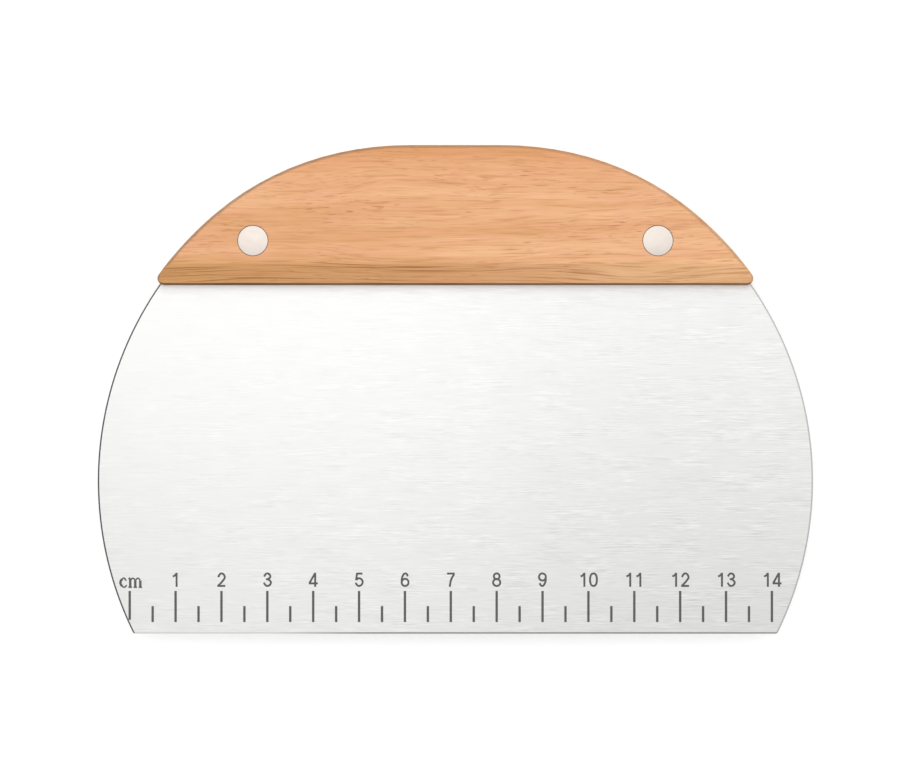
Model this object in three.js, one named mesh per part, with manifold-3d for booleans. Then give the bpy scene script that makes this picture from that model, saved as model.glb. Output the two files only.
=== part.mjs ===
// A half-moon dough scraper: a stainless sheet blade held in the saw kerf of a one-piece wooden
// handle by two flush compression rivets.
// Millimetres, +Z up: the scraper lies on its back with the graduated front of the blade facing up.
// The origin is the middle of the working edge, in the middle of the sheet. +X runs along the edge
// and +Y from the edge to the handle.

import * as THREE from "three";
import { mergeVertices } from "three/addons/utils/BufferGeometryUtils.js";
import Module from "manifold-3d";

// Blade: a sheet with two round sides, a straight working edge and a straight tang edge.
const BLADE_WIDTH = 156;
const BLADE_SIDE_RADIUS = 75;
const BLADE_WIDEST_HEIGHT = 33.3;
const BLADE_TOE_RADIUS = 0.8;
const BLADE_THICKNESS = 1;
const BLADE_EDGE_BREAK = 0.35;

// Handle: a board whose ends follow the blade's round sides, under a low arched top.
const HANDLE_BOTTOM = 76;
const HANDLE_TOP = 106.4;
const HANDLE_THICKNESS = 16;
const HANDLE_OVERHANG = 1.2;
const HANDLE_TOE_RADIUS = 1.4;
const HANDLE_ROUND_OVER = 1.3;
const TOP_FLAT_LENGTH = 20;
const SHOULDER_ANGLE = THREE.MathUtils.degToRad(50);
const SHOULDER_TOP_PULL = 16;
const SHOULDER_SIDE_PULL = 15;
const LOWER_BEVEL_HEIGHT = 4.6;
const LOWER_BEVEL_DEPTH = 3.2;

// Saw kerf along the underside of the handle, and the blade's tang in it.
const KERF_WIDTH = 1.2;
const KERF_DEPTH = 15;
const KERF_ROOF_GAP = 0.3;

// Compression rivets: a post headed in the front face, driven into a sleeve headed in the back face.
const RIVET_SPACING = 88;
const RIVET_HEIGHT = 85.6;
const RIVET_HEAD_DIAMETER = 6.6;
const RIVET_HEAD_THICKNESS = 1.4;
const RIVET_HEAD_BREAK = 0.15;
const SLEEVE_DIAMETER = 4.5;
const POST_DIAMETER = 2.9;
const POST_TIP_TAPER = 0.5;
const POST_CLEARANCE = 0.05;
const SLEEVE_END_GAP = 0.3;
const POST_END_GAP = 1;
const SEAT_DIAMETER = 6.8;
const SEAT_DEPTH = 1.5;
const HANDLE_RIVET_HOLE = 4.7;
const BLADE_RIVET_HOLE = 4.8;

// Smoothness of arcs and turned pieces, and how far a cutting shape runs past what it cuts.
const ARC_DIVISIONS = 10;
const ROUND_OVER_STEPS = 4;
const TURNED_SIDES = 32;
const CUT_OVERSHOOT = 5;

const QUARTER_TURN = Math.PI / 2;
const sideCentre = BLADE_WIDTH / 2 - BLADE_SIDE_RADIUS;
const tangTop = HANDLE_BOTTOM + KERF_DEPTH - KERF_ROOF_GAP;
const face = HANDLE_THICKNESS / 2;
const rivetPlaces = { left: -RIVET_SPACING / 2, right: RIVET_SPACING / 2 };

const BRUSHED_STEEL = { color: 0xdcdcda, roughness: 0.35, metalness: 1 };
const OILED_WOOD = { color: 0xe6af82, roughness: 0.6, metalness: 0 };
const SATIN_ALUMINIUM = { color: 0xe6dfd8, roughness: 0.4, metalness: 1 };

const wasm = await Module();
wasm.setup();

// A closed geometry as a solid that can be joined and cut.
function solidOf(geometry) {
  const bare = geometry.clone();
  bare.deleteAttribute("normal");
  bare.deleteAttribute("uv");
  const merged = mergeVertices(bare);
  const mesh = new wasm.Mesh({
    numProp: 3,
    vertProperties: Float32Array.from(merged.attributes.position.array),
    triVerts: Uint32Array.from(merged.index.array),
  });
  return new wasm.Manifold(mesh);
}

// A solid as a flat-shaded geometry.
function geometryOf(solid) {
  const mesh = solid.getMesh();
  const geometry = new THREE.BufferGeometry();
  geometry.setAttribute("position", new THREE.BufferAttribute(mesh.vertProperties, 3));
  geometry.setIndex(new THREE.BufferAttribute(mesh.triVerts, 1));
  const flat = geometry.toNonIndexed();
  flat.computeVertexNormals();
  return flat;
}

function namedMesh(name, geometry, finish) {
  const mesh = new THREE.Mesh(geometry, new THREE.MeshStandardMaterial(finish));
  mesh.name = name;
  return mesh;
}

// A board with the given outline, centred on its thickness, with both faces' edges eased by a radius.
function board(outline, thickness, ease, easeSteps) {
  const geometry = new THREE.ExtrudeGeometry(outline, {
    depth: thickness - 2 * ease,
    curveSegments: ARC_DIVISIONS,
    bevelThickness: ease,
    bevelSize: ease,
    bevelOffset: -ease,
    bevelSegments: easeSteps,
  });
  return geometry.translate(0, 0, ease - thickness / 2);
}

// The small arc that joins a straight lower edge to a round side, and the angle where they meet.
function toe(bottom, sideRadius, toeRadius) {
  const y = bottom + toeRadius;
  const rise = y - BLADE_WIDEST_HEIGHT;
  const x = sideCentre + Math.sqrt((sideRadius - toeRadius) ** 2 - rise ** 2);
  return { x, y, radius: toeRadius, angle: Math.atan2(rise, x - sideCentre) };
}

// The right-hand end of an outline, from the bottom edge round the toe and up the round side.
function rightSide(outline, corner, sideRadius, endAngle) {
  outline.absarc(corner.x, corner.y, corner.radius, -QUARTER_TURN, corner.angle);
  outline.absarc(sideCentre, BLADE_WIDEST_HEIGHT, sideRadius, corner.angle, endAngle);
}

// The same end mirrored, from the top of the left round side down and round its toe.
function leftSide(outline, corner, sideRadius, startAngle) {
  const toeAngle = Math.PI - corner.angle;
  outline.absarc(-sideCentre, BLADE_WIDEST_HEIGHT, sideRadius, Math.PI - startAngle, toeAngle);
  outline.absarc(-corner.x, corner.y, corner.radius, toeAngle, Math.PI + QUARTER_TURN);
}

function bladeOutline() {
  const corner = toe(0, BLADE_SIDE_RADIUS, BLADE_TOE_RADIUS);
  const tangAngle = Math.asin((tangTop - BLADE_WIDEST_HEIGHT) / BLADE_SIDE_RADIUS);
  const outline = new THREE.Shape();
  rightSide(outline, corner, BLADE_SIDE_RADIUS, tangAngle);
  leftSide(outline, corner, BLADE_SIDE_RADIUS, tangAngle);
  for (const x of Object.values(rivetPlaces)) {
    const hole = new THREE.Path();
    hole.absarc(x, RIVET_HEIGHT, BLADE_RIVET_HOLE / 2, 0, 2 * Math.PI);
    outline.holes.push(hole);
  }
  return outline;
}

// The handle's ends stand a little outside the blade's sides, and smooth shoulders lead to a flat top.
function handleOutline() {
  const sideRadius = BLADE_SIDE_RADIUS + HANDLE_OVERHANG;
  const corner = toe(HANDLE_BOTTOM, sideRadius, HANDLE_TOE_RADIUS);
  const outward = new THREE.Vector2(Math.cos(SHOULDER_ANGLE), Math.sin(SHOULDER_ANGLE));
  const along = new THREE.Vector2(-outward.y, outward.x);
  const shoulder = new THREE.Vector2(sideCentre, BLADE_WIDEST_HEIGHT);
  shoulder.addScaledVector(outward, sideRadius);
  const pull = shoulder.clone().addScaledVector(along, SHOULDER_SIDE_PULL);
  const flatEnd = TOP_FLAT_LENGTH / 2;
  const topPull = flatEnd + SHOULDER_TOP_PULL;
  const outline = new THREE.Shape();
  rightSide(outline, corner, sideRadius, SHOULDER_ANGLE);
  outline.bezierCurveTo(pull.x, pull.y, topPull, HANDLE_TOP, flatEnd, HANDLE_TOP);
  outline.lineTo(-flatEnd, HANDLE_TOP);
  outline.bezierCurveTo(-topPull, HANDLE_TOP, -pull.x, pull.y, -shoulder.x, shoulder.y);
  leftSide(outline, corner, sideRadius, SHOULDER_ANGLE);
  return outline;
}

// A wedge along the whole lower edge of the front face.
function lowerBevelCutter() {
  const length = BLADE_WIDTH + 2 * CUT_OVERSHOOT;
  const slope = LOWER_BEVEL_HEIGHT / LOWER_BEVEL_DEPTH;
  const section = new THREE.Shape();
  section.moveTo(face - LOWER_BEVEL_DEPTH - CUT_OVERSHOOT, HANDLE_BOTTOM - slope * CUT_OVERSHOOT);
  section.lineTo(face + CUT_OVERSHOOT, HANDLE_BOTTOM - slope * CUT_OVERSHOOT);
  section.lineTo(face + CUT_OVERSHOOT, HANDLE_BOTTOM + LOWER_BEVEL_HEIGHT + slope * CUT_OVERSHOOT);
  const wedge = new THREE.ExtrudeGeometry(section, { depth: length, bevelEnabled: false });
  return wedge.translate(0, 0, -length / 2).rotateY(-QUARTER_TURN);
}

function kerfCutter() {
  const length = BLADE_WIDTH + 2 * CUT_OVERSHOOT;
  const height = KERF_DEPTH + CUT_OVERSHOOT;
  const slab = new THREE.BoxGeometry(length, height, KERF_WIDTH);
  return slab.translate(0, HANDLE_BOTTOM + KERF_DEPTH - height / 2, 0);
}

// A turned shape: each point of the profile is [radius, place along the axis].
function turned(profile) {
  const points = profile.map(([radius, place]) => new THREE.Vector2(radius, place));
  return new THREE.LatheGeometry(points, TURNED_SIDES);
}

function rivetSeatCutter(x) {
  const floor = face - SEAT_DEPTH;
  const past = face + CUT_OVERSHOOT;
  const seat = turned([
    [0, -past],
    [SEAT_DIAMETER / 2, -past],
    [SEAT_DIAMETER / 2, -floor],
    [HANDLE_RIVET_HOLE / 2, -floor],
    [HANDLE_RIVET_HOLE / 2, floor],
    [SEAT_DIAMETER / 2, floor],
    [SEAT_DIAMETER / 2, past],
    [0, past],
  ]);
  return seat.rotateX(QUARTER_TURN).translate(x, RIVET_HEIGHT, 0);
}

function makeBlade() {
  const sheet = board(bladeOutline(), BLADE_THICKNESS, BLADE_EDGE_BREAK, 1);
  return namedMesh("blade", sheet, BRUSHED_STEEL);
}

function makeHandle() {
  let wooden = solidOf(board(handleOutline(), HANDLE_THICKNESS, HANDLE_ROUND_OVER, ROUND_OVER_STEPS));
  const bevel = lowerBevelCutter();
  const cutters = [bevel, bevel.clone().rotateY(Math.PI), kerfCutter()];
  for (const x of Object.values(rivetPlaces)) {
    cutters.push(rivetSeatCutter(x));
  }
  for (const cutter of cutters) {
    wooden = wooden.subtract(solidOf(cutter));
  }
  return namedMesh("handle", geometryOf(wooden), OILED_WOOD);
}

// The flush head that both halves of a rivet have, from under the head out to the middle of its face.
function headProfile() {
  const radius = RIVET_HEAD_DIAMETER / 2;
  return [
    [radius, face - RIVET_HEAD_THICKNESS],
    [radius, face - RIVET_HEAD_BREAK],
    [radius - RIVET_HEAD_BREAK, face],
    [0, face],
  ];
}

function postGeometry() {
  const radius = POST_DIAMETER / 2;
  const underHead = face - RIVET_HEAD_THICKNESS;
  const tip = POST_END_GAP - underHead;
  return turned([
    [0, tip],
    [radius - POST_TIP_TAPER, tip],
    [radius, tip + 2 * POST_TIP_TAPER],
    [radius, underHead],
    ...headProfile(),
  ]);
}

function sleeveGeometry() {
  const bore = POST_DIAMETER / 2 + POST_CLEARANCE;
  const underHead = face - RIVET_HEAD_THICKNESS;
  const mouth = SLEEVE_END_GAP - underHead;
  return turned([
    [0, underHead],
    [bore, underHead],
    [bore, mouth],
    [SLEEVE_DIAMETER / 2, mouth],
    [SLEEVE_DIAMETER / 2, underHead],
    ...headProfile(),
  ]);
}

// One rivet, set through the handle: the post from the front and the sleeve from the back.
function makeRivet(side, x) {
  const rivet = new THREE.Group();
  const post = namedMesh(`rivet_post_${side}`, postGeometry(), SATIN_ALUMINIUM);
  const sleeve = namedMesh(`rivet_sleeve_${side}`, sleeveGeometry(), SATIN_ALUMINIUM);
  post.rotation.x = QUARTER_TURN;
  sleeve.rotation.x = -QUARTER_TURN;
  rivet.add(post, sleeve);
  rivet.position.set(x, RIVET_HEIGHT, 0);
  return rivet;
}

const scraper = new THREE.Group();
scraper.add(makeBlade(), makeHandle());
for (const [side, x] of Object.entries(rivetPlaces)) {
  scraper.add(makeRivet(side, x));
}

export default scraper;
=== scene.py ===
# %% [markdown]
# # A dough scraper in brushed steel and oiled wood
# A baker's scraper is a thin steel sheet with a straight working edge, a wooden handle that is sawn to
# take the sheet, and two rivets through both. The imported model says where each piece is. This lesson
# models every piece again as a maker would shape it, and then gives it the finish that the eye expects:
# hairlines in the steel, pores and growth lines in the wood, and a centimetre scale etched in the blade.

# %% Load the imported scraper
import math

import bmesh
import bpy
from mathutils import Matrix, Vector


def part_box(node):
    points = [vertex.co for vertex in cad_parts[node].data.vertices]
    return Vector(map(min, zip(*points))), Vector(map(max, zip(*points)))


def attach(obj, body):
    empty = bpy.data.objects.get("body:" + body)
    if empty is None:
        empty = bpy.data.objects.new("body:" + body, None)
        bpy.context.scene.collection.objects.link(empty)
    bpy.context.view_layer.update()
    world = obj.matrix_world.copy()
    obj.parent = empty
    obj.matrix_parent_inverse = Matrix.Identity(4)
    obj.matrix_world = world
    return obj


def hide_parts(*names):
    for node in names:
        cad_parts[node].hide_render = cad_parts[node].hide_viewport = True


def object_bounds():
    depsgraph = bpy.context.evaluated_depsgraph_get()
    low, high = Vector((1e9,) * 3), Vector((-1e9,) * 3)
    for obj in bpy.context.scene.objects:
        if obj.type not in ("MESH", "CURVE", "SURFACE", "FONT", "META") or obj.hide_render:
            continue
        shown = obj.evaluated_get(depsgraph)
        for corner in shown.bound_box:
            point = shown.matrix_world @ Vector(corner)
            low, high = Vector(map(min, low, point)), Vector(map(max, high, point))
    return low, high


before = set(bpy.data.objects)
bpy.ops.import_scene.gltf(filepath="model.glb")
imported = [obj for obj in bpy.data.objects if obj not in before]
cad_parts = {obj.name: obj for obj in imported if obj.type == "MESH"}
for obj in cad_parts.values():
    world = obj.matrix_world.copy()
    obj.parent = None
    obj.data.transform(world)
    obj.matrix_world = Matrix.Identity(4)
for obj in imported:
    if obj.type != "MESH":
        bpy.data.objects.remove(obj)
cad_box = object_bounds()
MM = 0.001
print("packed scraper, mm:", [round(size / MM, 2) for size in cad_box[1] - cad_box[0]])

# %% [markdown]
# ## Picking and cutting
# In a window you would click the edges that you want and drag a knife across them. A script picks by
# place instead: it asks each vertex, edge or face where it lies. Slicing with Bisect is the straight
# saw cut of modelling.

# %% Helpers for edit mode
TINY = 0.01 * MM
CUT_SNAP = 0.0001 * MM
MERGE_WITHIN = 0.001 * MM


def pick(kind, wanted):
    """Selects just those vertices, edges or faces of the edited piece that are wanted."""
    bpy.ops.mesh.select_mode(type=kind)
    bpy.ops.mesh.select_all(action="DESELECT")
    edited = bmesh.from_edit_mesh(bpy.context.object.data)
    for part in {"VERT": edited.verts, "EDGE": edited.edges, "FACE": edited.faces}[kind]:
        if wanted(part):
            part.select_set(True)
    edited.select_flush_mode()
    bmesh.update_edit_mesh(bpy.context.object.data)


def pick_all():
    bpy.ops.mesh.select_all(action="SELECT")


def edge_lies_at(edge, height):
    """True for an edge that runs level at this height through the thickness."""
    return all(abs(vert.co.z - height) < TINY for vert in edge.verts)


def slice_off(point, outward, close=True):
    """Cuts the edited piece with a plane and takes away what lies outward of it."""
    pick_all()
    bpy.ops.mesh.bisect(
        plane_co=point, plane_no=outward, use_fill=close, clear_outer=True, threshold=CUT_SNAP
    )


def score(x):
    """Scores a line across the edited piece, so that a hole on it never lies inside one big face."""
    pick_all()
    bpy.ops.mesh.bisect(plane_co=(x, 0, 0), plane_no=(1, 0, 0), threshold=CUT_SNAP)


def extrude(height):
    """Extrudes what is picked through this height."""
    bpy.ops.mesh.extrude_region_move(TRANSFORM_OT_translate={"value": (0, 0, height)})


def round_off(size, steps, kind="EDGES"):
    """Bevels the picked edges or corners in a few steps."""
    bpy.ops.mesh.bevel(affect=kind, offset=size, segments=steps, clamp_overlap=False)


def face_outwards():
    """Merges doubled points of the edited piece and turns all its faces out."""
    pick_all()
    bpy.ops.mesh.remove_doubles(threshold=MERGE_WITHIN)
    bpy.ops.mesh.normals_make_consistent(inside=False)


print("edit mode helpers ready")

# %% [markdown]
# Other steps act on whole pieces. An operator takes all that is selected, so everything is deselected
# before a new piece is added, and one piece alone is selected before it is worked on. A Boolean modifier
# is the drill, and smooth shading hides the small flats that a round is made of.

# %% Helpers for whole pieces
def mode(name):
    bpy.ops.object.mode_set(mode=name)


def start_alone():
    """Deselects everything, so that the next new piece is the only one selected."""
    bpy.ops.object.select_all(action="DESELECT")


def name_piece(name):
    """Names the active piece and the data that holds its shape."""
    piece = bpy.context.object
    piece.name = name
    piece.data.name = name
    return piece


def work_on(piece):
    """Selects one piece alone and makes it the active one."""
    start_alone()
    piece.select_set(True)
    bpy.context.view_layer.objects.active = piece


def settle():
    """Moves the place and turn of the selected pieces into their meshes."""
    bpy.ops.object.transform_apply(location=True, rotation=True, scale=True)


def boolean(piece, tool, operation):
    """Cuts the tool's shape out of the piece, or fuses it on, and puts the tool away."""
    change = piece.modifiers.new("change", "BOOLEAN")
    change.operation = operation
    change.solver = "MANIFOLD"
    change.object = tool
    work_on(piece)
    bpy.ops.object.modifier_apply(modifier=change.name)
    bpy.data.objects.remove(tool)


def shade(piece, sharpest):
    """Smooth shading wherever faces meet at less than an angle in degrees."""
    work_on(piece)
    bpy.ops.object.shade_smooth_by_angle(angle=math.radians(sharpest))


def shade_evenly(piece, sharpest):
    """The same, with flat faces kept flat beside their rounded edges."""
    shade(piece, sharpest)
    even = piece.modifiers.new("flat faces stay flat", "WEIGHTED_NORMAL")
    even.keep_sharp = True
    bpy.ops.object.modifier_apply(modifier=even.name)


print("piece helpers ready")

# %% [markdown]
# ## The blade
# The sheet is punched from 1 mm stainless stock: two round sides of the same radius, a straight working
# edge, and a straight tang that disappears into the handle. You could trace that outline with a curve,
# but a filled circle gives the true radius at once. Its halves are pulled apart by a few millimetres,
# and two slices make the straight edges. A burr would cut the baker, so every edge is broken.

# %% Model the blade
SIDE_RADIUS = 75 * MM
WIDEST_HEIGHT = 33.3 * MM
CIRCLE_POINTS = 252
BLADE_CORNER = 0.35 * MM
BLADE_CORNER_STEPS = 4
BLADE_EDGE_BREAK = 0.35 * MM
BLADE_EDGE_STEPS = 3

blade_low, blade_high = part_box("blade")
side_centre = blade_high.x - SIDE_RADIUS
tang_top = blade_high.y

start_alone()
bpy.ops.mesh.primitive_circle_add(
    vertices=CIRCLE_POINTS, radius=SIDE_RADIUS, fill_type="NGON",
    location=(0, WIDEST_HEIGHT, blade_low.z), rotation=(0, 0, math.pi / CIRCLE_POINTS),
)
blade = name_piece("steel_blade")
settle()
mode("EDIT")
for side in (-1, 1):
    pick("VERT", lambda vert: vert.co.x * side > 0)
    bpy.ops.transform.translate(value=(side * side_centre, 0, 0))
slice_off((0, 0, 0), (0, -1, 0), close=False)
slice_off((0, tang_top, 0), (0, 1, 0), close=False)
pick("VERT", lambda vert: vert.co.y < TINY)
round_off(BLADE_CORNER, BLADE_CORNER_STEPS, "VERTICES")
pick_all()
extrude(blade_high.z - blade_low.z)
face_outwards()
pick("EDGE", lambda edge: edge_lies_at(edge, blade_low.z) or edge_lies_at(edge, blade_high.z))
round_off(BLADE_EDGE_BREAK, BLADE_EDGE_STEPS)
mode("OBJECT")
print("blade:", len(blade.data.polygons), "faces")

# %% [markdown]
# Two holes in the tang let the rivets pass. They stay hidden in the handle, but a rivet that ran
# through solid steel would be wrong in every cut-away view, so they are drilled all the same.

# %% Drill the tang
RIVET_HOLE = 4.8 * MM
ROUND_POINTS = 48
DRILL_LENGTH = 40 * MM
BLADE_SHARPEST = 8

post_low, post_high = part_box("rivet_post_right")
rivet_x, rivet_y = (post_low.x + post_high.x) / 2, (post_low.y + post_high.y) / 2
rivet_sides = {"left": -rivet_x, "right": rivet_x}
for x in rivet_sides.values():
    work_on(blade)
    mode("EDIT")
    score(x)
    mode("OBJECT")
    start_alone()
    bpy.ops.mesh.primitive_cylinder_add(
        vertices=ROUND_POINTS, radius=RIVET_HOLE / 2, depth=DRILL_LENGTH, location=(x, rivet_y, 0)
    )
    boolean(blade, bpy.context.object, "DIFFERENCE")
shade(blade, BLADE_SHARPEST)
print("rivets at x =", [round(x / MM, 2) for x in rivet_sides.values()], "y =", round(rivet_y / MM, 2))

# %% [markdown]
# ## The handle
# The handle is one board, sawn along a template: its ends carry on the round of the blade, and soft
# shoulders lead to a flat top. A template is a curve, so a Bezier outline is drawn with the few knots
# that a maker would mark: the toe, the end of the round side, and the start of the flat, on each side.

# %% Mark out the template
HANDLE_OVERHANG = 1.2 * MM
TOE_RADIUS = 1.4 * MM
SHOULDER_ANGLE = math.radians(50)
SHOULDER_SIDE_PULL = 15 * MM
SHOULDER_TOP_PULL = 16 * MM
TOP_FLAT = 20 * MM

handle_low, handle_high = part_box("handle")
end_radius = SIDE_RADIUS + HANDLE_OVERHANG
toe_y = handle_low.y + TOE_RADIUS
toe_rise = toe_y - WIDEST_HEIGHT
toe_x = side_centre + math.sqrt((end_radius - TOE_RADIUS) ** 2 - toe_rise ** 2)
toe_angle = math.atan2(toe_rise, toe_x - side_centre)


def arc_pull(radius, turn):
    """How long a Bezier handle has to be for its curve to follow an arc."""
    return 4 / 3 * math.tan(turn / 4) * radius


def knot(x, y, heading, before, after):
    """A knot of the template: its place, and handles that point back and ahead along a heading."""
    ahead = (math.cos(heading), math.sin(heading))
    return {
        "co": (x, y, 0),
        "handle_left": (x - before * ahead[0], y - before * ahead[1], 0),
        "handle_right": (x + after * ahead[0], y + after * ahead[1], 0),
    }


quarter = math.pi / 2
toe_pull = arc_pull(TOE_RADIUS, toe_angle + quarter)
side_pull = arc_pull(end_radius, SHOULDER_ANGLE - toe_angle)
right_knots = [
    knot(toe_x, handle_low.y, 0, 0, toe_pull),
    knot(
        toe_x + TOE_RADIUS * math.cos(toe_angle), toe_y + TOE_RADIUS * math.sin(toe_angle),
        toe_angle + quarter, toe_pull, side_pull,
    ),
    knot(
        side_centre + end_radius * math.cos(SHOULDER_ANGLE),
        WIDEST_HEIGHT + end_radius * math.sin(SHOULDER_ANGLE),
        SHOULDER_ANGLE + quarter, side_pull, SHOULDER_SIDE_PULL,
    ),
    knot(TOP_FLAT / 2, handle_high.y, math.pi, SHOULDER_TOP_PULL, 0),
]
print("template:", len(right_knots), "knots on each side")

# %% [markdown]
# The left side of the template mirrors the right one. The finished curve is made a mesh, because it is
# mesh tools that cut and round a board.

# %% Draw the template
CURVE_STEPS = 12


def mirrored(right):
    """The same knot on the left, where the outline runs the other way."""
    flip = {"co": "co", "handle_left": "handle_right", "handle_right": "handle_left"}
    return {name: (-right[source][0], right[source][1], 0) for name, source in flip.items()}


knots = right_knots + [mirrored(right) for right in reversed(right_knots)]
start_alone()
bpy.ops.curve.primitive_bezier_curve_add()
handle = name_piece("wooden_handle")
handle.data.dimensions = "2D"
handle.data.fill_mode = "NONE"
handle.data.resolution_u = CURVE_STEPS
template = handle.data.splines[0]
template.use_cyclic_u = True
template.bezier_points.add(len(knots) - len(template.bezier_points))
for point, marks in zip(template.bezier_points, knots):
    point.handle_left_type = point.handle_right_type = "FREE"
    for name, place in marks.items():
        setattr(point, name, place)
bpy.ops.object.convert(target="MESH")
print("template:", len(handle.data.vertices), "points")

# %% [markdown]
# The template becomes a board by filling and extruding it. A router rounds both faces' edges, and a
# plane takes a long bevel off each lower edge, which lets the fingers reach the blade. The bevel's
# ridges are eased with a stroke of sandpaper: a knife-sharp ridge would look like plastic.

# %% Shape the board
ROUND_OVER = 1.3 * MM
ROUND_OVER_STEPS = 5
BEVEL_HEIGHT = 4.6 * MM
BEVEL_DEPTH = 3.2 * MM
RIDGE_EASE = 0.45 * MM
LOWER_EDGE_EASE = 0.7 * MM
EASE_STEPS = 5

bevel_slope = BEVEL_DEPTH / BEVEL_HEIGHT
side_top = handle_high.z - ROUND_OVER + TINY
face_level = handle_high.z - TINY


def borders_bevel(edge):
    """True for an edge that lies in the plane of a lower bevel, on one face of the board."""
    foot = handle_high.z - BEVEL_DEPTH
    rises = [abs(vert.co.z) - foot - (vert.co.y - handle_low.y) * bevel_slope for vert in edge.verts]
    one_face = edge.verts[0].co.z * edge.verts[1].co.z > 0
    return one_face and max(abs(rise) for rise in rises) < TINY


work_on(handle)
mode("EDIT")
face_outwards()
bpy.ops.mesh.edge_face_add()
bpy.ops.transform.translate(value=(0, 0, handle_low.z))
extrude(handle_high.z - handle_low.z)
face_outwards()
pick("EDGE", lambda edge: edge_lies_at(edge, handle_low.z) or edge_lies_at(edge, handle_high.z))
round_off(ROUND_OVER, ROUND_OVER_STEPS)
for face_z, outward in ((handle_low.z, -1), (handle_high.z, 1)):
    slice_off(
        (0, handle_low.y, face_z - outward * BEVEL_DEPTH),
        (0, -BEVEL_DEPTH, outward * BEVEL_HEIGHT),
    )
face_outwards()
pick("EDGE", lambda edge: borders_bevel(edge) and max(abs(vert.co.z) for vert in edge.verts) < side_top)
round_off(LOWER_EDGE_EASE, EASE_STEPS)
pick("EDGE", lambda edge: borders_bevel(edge) and min(abs(vert.co.z) for vert in edge.verts) > face_level)
round_off(RIDGE_EASE, EASE_STEPS)
for x in rivet_sides.values():
    score(x)
mode("OBJECT")
print("board:", len(handle.data.polygons), "faces")

# %% [markdown]
# A saw kerf runs along the underside for the tang. Its cutter is a thin box that reaches past the board
# at both ends and below.

# %% Saw the kerf
KERF_WIDTH = 1.2 * MM
KERF_DEPTH = 15 * MM
CUT_PAST = 5 * MM

kerf_top = handle_low.y + KERF_DEPTH
start_alone()
bpy.ops.mesh.primitive_cube_add(
    size=1, location=(0, kerf_top - KERF_DEPTH / 2 - CUT_PAST / 2, 0),
    scale=(2 * blade_high.x, KERF_DEPTH + CUT_PAST, KERF_WIDTH),
)
settle()
mode("EDIT")
for x in rivet_sides.values():
    score(x)
mode("OBJECT")
boolean(handle, bpy.context.object, "DIFFERENCE")
print("kerf:", round(KERF_DEPTH / MM, 1), "mm deep")

# %% [markdown]
# Each rivet gets a stepped seat: a hole right through, and a wider counterbore in each face for the
# head. The seat's cutter starts as a cylinder as long as the narrow hole, and its two ends are widened
# and drawn out past the board.

# %% Drill the seats
SEAT_HOLE = 4.7 * MM
SEAT_DIAMETER = 6.7 * MM
SEAT_DEPTH = 1.5 * MM
SQUARE_ENOUGH = 0.9


def caps_end(face, outward):
    """True for the cutter's cap at one end, and not for the step behind its other end."""
    return face.normal.z * outward > SQUARE_ENOUGH and face.verts[0].co.z * outward > 0


for x in rivet_sides.values():
    start_alone()
    bpy.ops.mesh.primitive_cylinder_add(
        vertices=ROUND_POINTS, radius=SEAT_HOLE / 2, rotation=(0, 0, math.pi / ROUND_POINTS),
        depth=handle_high.z - handle_low.z - 2 * SEAT_DEPTH, location=(x, rivet_y, 0),
    )
    settle()
    mode("EDIT")
    for outward in (-1, 1):
        pick("FACE", lambda face: caps_end(face, outward))
        extrude(0)
        bpy.ops.transform.resize(
            value=(SEAT_DIAMETER / SEAT_HOLE, SEAT_DIAMETER / SEAT_HOLE, 1),
            center_override=(x, rivet_y, 0),
        )
        extrude(outward * (SEAT_DEPTH + CUT_PAST))
    mode("OBJECT")
    boolean(handle, bpy.context.object, "DIFFERENCE")
print("seats:", len(rivet_sides), "at", round(SEAT_DIAMETER / MM, 1), "mm across")

# %% [markdown]
# The rims of the seats are eased by a hair, as sanding the face does, and then the whole handle gets
# its smooth shading.

# %% Ease the rims of the seats
SEAT_EASE = 0.06 * MM
SEAT_EASE_STEPS = 2
RIM_REACH = 0.55 * SEAT_DIAMETER
HANDLE_SHARPEST = 30


def on_seat_rim(edge):
    """True for an edge where a seat meets a face of the board."""
    middle = (edge.verts[0].co + edge.verts[1].co) / 2
    nearest = min(math.hypot(middle.x - x, middle.y - rivet_y) for x in rivet_sides.values())
    level = edge_lies_at(edge, handle_low.z) or edge_lies_at(edge, handle_high.z)
    return level and nearest < RIM_REACH


work_on(handle)
mode("EDIT")
pick("EDGE", on_seat_rim)
round_off(SEAT_EASE, SEAT_EASE_STEPS)
mode("OBJECT")
shade_evenly(handle, HANDLE_SHARPEST)
print("handle:", len(handle.data.polygons), "faces")

# %% [markdown]
# ## The rivets
# A compression rivet comes in two halves. The post has a flat head and a solid shank, the sleeve has
# the same head and a bored shank, and the press drives one into the other. Each half is turned from
# bar, which in a modeller is a cylinder for the head whose underside is inset and drawn out.

# %% Rivet heads
HEAD_DIAMETER = 6.6 * MM
HEAD_THICKNESS = 1.4 * MM
HEAD_EASE = 0.15 * MM
HEAD_EASE_STEPS = 3

front = handle_high.z


def turn_head(name):
    """A rivet head flush with the front face, left in edit mode with its underside picked."""
    start_alone()
    bpy.ops.mesh.primitive_cylinder_add(
        vertices=ROUND_POINTS, radius=HEAD_DIAMETER / 2, depth=HEAD_THICKNESS,
        location=(0, 0, front - HEAD_THICKNESS / 2),
    )
    piece = name_piece(name)
    settle()
    mode("EDIT")
    pick("EDGE", lambda edge: edge_lies_at(edge, front))
    round_off(HEAD_EASE, HEAD_EASE_STEPS)
    pick("FACE", lambda face: face.normal.z < -SQUARE_ENOUGH)
    return piece


def draw_out(distance):
    """Extrudes the picked face back from the head."""
    extrude(-distance)


print("rivet heads:", round(HEAD_DIAMETER / MM, 1), "mm across")

# %% [markdown]
# The post's end is tapered, to find its way into the sleeve. The sleeve is turned over once it is
# bored, because its head lies in the back of the handle.

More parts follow.
